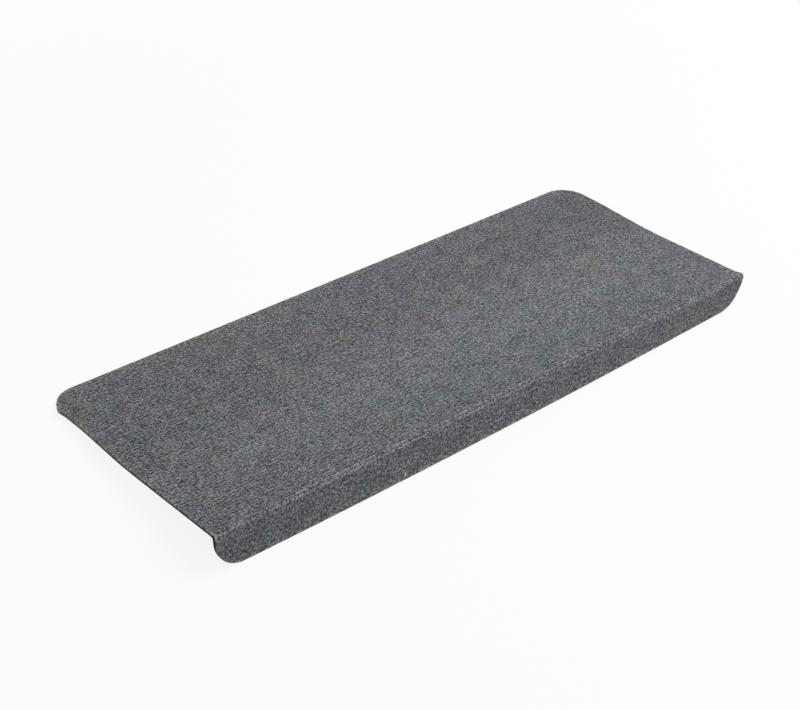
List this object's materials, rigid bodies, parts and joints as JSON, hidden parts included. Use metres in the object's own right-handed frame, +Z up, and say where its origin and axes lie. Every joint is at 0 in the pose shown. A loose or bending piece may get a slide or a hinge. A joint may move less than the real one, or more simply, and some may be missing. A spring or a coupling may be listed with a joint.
{
  "type": "anti slip stair tread mat",
  "caption": "Ribbed needle-felt stair mat with rounded corners, bonded to a thin black non-slip backing, with a lip that folds down over the stair nosing.",
  "frame": {"origin": "on the floor under the middle of the mat as it lies", "axes": "+X along the mat, +Z up, -Y towards the lip"},
  "size_m": [0.65, 0.2522, 0.0346],
  "materials": {
    "needle_felt": "ribbed grey needle-punched felt, matt, with flecks of teal, violet and olive",
    "non_slip_backing": "plain black, matt, finely grained"
  },
  "bodies": {
    "root": {"carpet_face": "needle_felt", "backing": "non_slip_backing"}
  },
  "joints": []
}
